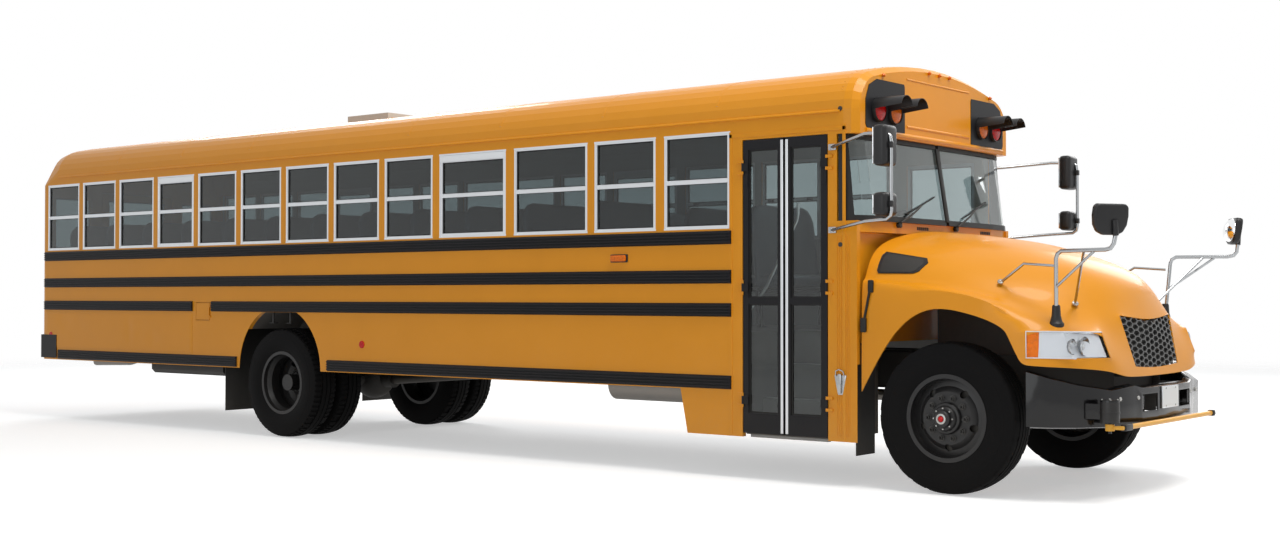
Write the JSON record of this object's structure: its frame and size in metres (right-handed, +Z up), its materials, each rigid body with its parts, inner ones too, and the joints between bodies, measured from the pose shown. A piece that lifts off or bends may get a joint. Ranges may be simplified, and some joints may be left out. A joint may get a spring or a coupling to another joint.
{
  "type": "school bus",
  "caption": "Full-size conventional school bus with hollow cabin, benches, tilting hood, folding entrance leaves, rear door, stop and crossing arms, steering and rolling wheels.",
  "frame": {"origin": "ground, at the centre of the bounding box's lower face", "axes": "+X forward, +Y to the driver's left, +Z up"},
  "size_m": [12.715, 3.218, 3.188],
  "materials": {
    "yellow_paint": "gloss school-bus yellow, dusty low down",
    "black_paint": "semi-gloss black",
    "chassis_black": "matt black, dusty",
    "dark_steel": "dark steel",
    "spring_steel": "dark spring steel",
    "engine_iron": "matt",
    "radiator_black": "matt black",
    "exhaust_steel": "dull aluminised steel",
    "tyre": "matt rubber with dust",
    "rim_black": "satin black",
    "floor_rubber": "ribbed rubber",
    "glass": "tinted glass",
    "seal_rubber": "matt black rubber",
    "window_aluminium": "plain satin aluminium",
    "bright_steel": "bright plated steel",
    "lens_amber": "amber lens",
    "plate_white": "blank white",
    "mirror_glass": "mirror glass",
    "cabin_lining": "light grey lining",
    "black_plastic": "matt black plastic",
    "lens_clear": "clear lens",
    "flap_rubber": "matt rubber",
    "lens_red": "ribbed lens",
    "sign_red": "reflective red with a white edge",
    "arm_yellow": "yellow tube",
    "hatch_white": "white moulding",
    "seat_vinyl": "grained dark vinyl",
    "seat_fabric": "woven dark fabric",
    "grey_plastic": "grained dark grey"
  },
  "bodies": {
    "root": {"frame_rails": "chassis_black", "cross_members": "chassis_black", "body_sills": "chassis_black", "tow_eyes": "chassis_black", "front_axle": "chassis_black", "rear_axle": "chassis_black", "leaf_springs": "spring_steel", "driveshaft": "dark_steel", "engine_block": "engine_iron", "radiator": "radiator_black", "fuel_tank": "chassis_black", "exhaust": "exhaust_steel", "floor": "floor_rubber", "side_wall_right": "yellow_paint", "side_wall_left": "yellow_paint", "roof": "yellow_paint", "front_cap": "yellow_paint", "rear_cap": "yellow_paint", "rear_wall": "yellow_paint", "cowl": "yellow_paint", "windshield": "glass", "windshield_frame": "seal_rubber", "window_frames": "window_aluminium", "window_glass": "glass", "side_mirrors": "black_plastic", "front_bumper": "black_paint", "rear_bumper": "black_paint", "rub_rails": "black_paint", "mudflaps": "flap_rubber", "warning_lamps": "lens_red", "seats": "seat_vinyl", "driver_seat": "seat_fabric", "dashboard": "grey_plastic"},
    "knuckle_right": {"knuckle_right": "dark_steel"},
    "knuckle_left": {"knuckle_left": "dark_steel"},
    "wheel_front_right": {"tyre_front_right": "tyre", "rim_front_right": "rim_black"},
    "wheel_front_left": {"tyre_front_left": "tyre", "rim_front_left": "rim_black"},
    "wheels_rear_right": {"tyres_rear_right": "tyre", "rims_rear_right": "rim_black"},
    "wheels_rear_left": {"tyres_rear_left": "tyre", "rims_rear_left": "rim_black"},
    "entrance_leaf_front": {"entrance_leaf_front": "black_paint", "entrance_glass_front": "glass"},
    "entrance_leaf_rear": {"entrance_leaf_rear": "black_paint", "entrance_glass_rear": "glass"},
    "rear_door": {"rear_door": "yellow_paint", "rear_door_glass": "glass"},
    "hood": {"hood": "yellow_paint", "hood_hinges": "chassis_black", "grille": "black_plastic", "headlights": "lens_clear", "crossview_mirrors": "black_plastic"},
    "stop_arm": {"stop_arm": "sign_red"},
    "crossing_arm": {"crossing_arm": "arm_yellow"},
    "roof_hatch": {"roof_hatch": "hatch_white"},
    "fuel_door": {"fuel_door": "yellow_paint"},
    "steering_wheel": {"steering_wheel": "black_plastic"}
  },
  "joints": [
    {"name": "steer_right", "type": "hinge", "parent": "root", "child": "knuckle_right", "pos_m": [5.0745, -0.85, 0.527], "axis": [0, 0, 1], "range_deg": [-40, 40]},
    {"name": "steer_left", "type": "hinge", "parent": "root", "child": "knuckle_left", "pos_m": [5.0745, 0.85, 0.527], "axis": [0, 0, 1], "range_deg": [-40, 40]},
    {"name": "steering_wheel_turn", "type": "hinge", "parent": "root", "child": "steering_wheel", "pos_m": [3.7845, 0.6, 1.83], "axis": [-0.5, 0, 0.866], "range_deg": [-720, 720]},
    {"name": "roll_front_right", "type": "hinge", "parent": "knuckle_right", "child": "wheel_front_right", "pos_m": [5.0745, -1.0375, 0.527], "axis": [0, 1, 0], "continuous": true},
    {"name": "roll_front_left", "type": "hinge", "parent": "knuckle_left", "child": "wheel_front_left", "pos_m": [5.0745, 1.0375, 0.527], "axis": [0, 1, 0], "continuous": true},
    {"name": "roll_rear_right", "type": "hinge", "parent": "root", "child": "wheels_rear_right", "pos_m": [-2.0375, -0.905, 0.527], "axis": [0, 1, 0], "continuous": true},
    {"name": "roll_rear_left", "type": "hinge", "parent": "root", "child": "wheels_rear_left", "pos_m": [-2.0375, 0.905, 0.527], "axis": [0, 1, 0], "continuous": true},
    {"name": "entrance_leaf_rear_swing", "type": "hinge", "parent": "root", "child": "entrance_leaf_rear", "pos_m": [3.4265, -1.228, 1.43], "axis": [0, 0, -1], "range_deg": [0, 85]},
    {"name": "entrance_leaf_front_swing", "type": "hinge", "parent": "root", "child": "entrance_leaf_front", "pos_m": [4.1625, -1.228, 1.43], "axis": [0, 0, 1], "range_deg": [0, 85]},
    {"name": "rear_door_swing", "type": "hinge", "parent": "root", "child": "rear_door", "pos_m": [-6.2965, -0.47, 1.84], "axis": [0, 0, 1], "range_deg": [0, 110]},
    {"name": "hood_tilt", "type": "hinge", "parent": "root", "child": "hood", "pos_m": [6.0545, 0, 0.85], "axis": [0, 1, 0], "range_deg": [0, 60]},
    {"name": "crossing_arm_swing", "type": "hinge", "parent": "root", "child": "crossing_arm", "pos_m": [6.1595, -0.96, 0.508], "axis": [0, 0, -1], "range_deg": [0, 90]},
    {"name": "stop_arm_swing", "type": "hinge", "parent": "root", "child": "stop_arm", "pos_m": [2.9945, 1.271, 1.56], "axis": [0, 0, -1], "range_deg": [0, 90]},
    {"name": "roof_hatch_lift", "type": "hinge", "parent": "root", "child": "roof_hatch", "pos_m": [-1.5015, 0, 3.134], "axis": [0, 1, 0], "range_deg": [0, 80]},
    {"name": "fuel_door_swing", "type": "hinge", "parent": "root", "child": "fuel_door", "pos_m": [-3.1405, -1.226, 1.21], "axis": [0, 0, 1], "range_deg": [0, 100]}
  ],
  "couplings": [
    {"joint": "steer_left", "follows": "steer_right", "ratio": 1},
    {"joint": "steering_wheel_turn", "follows": "steer_right", "ratio": 18},
    {"joint": "entrance_leaf_front_swing", "follows": "entrance_leaf_rear_swing", "ratio": 1}
  ]
}
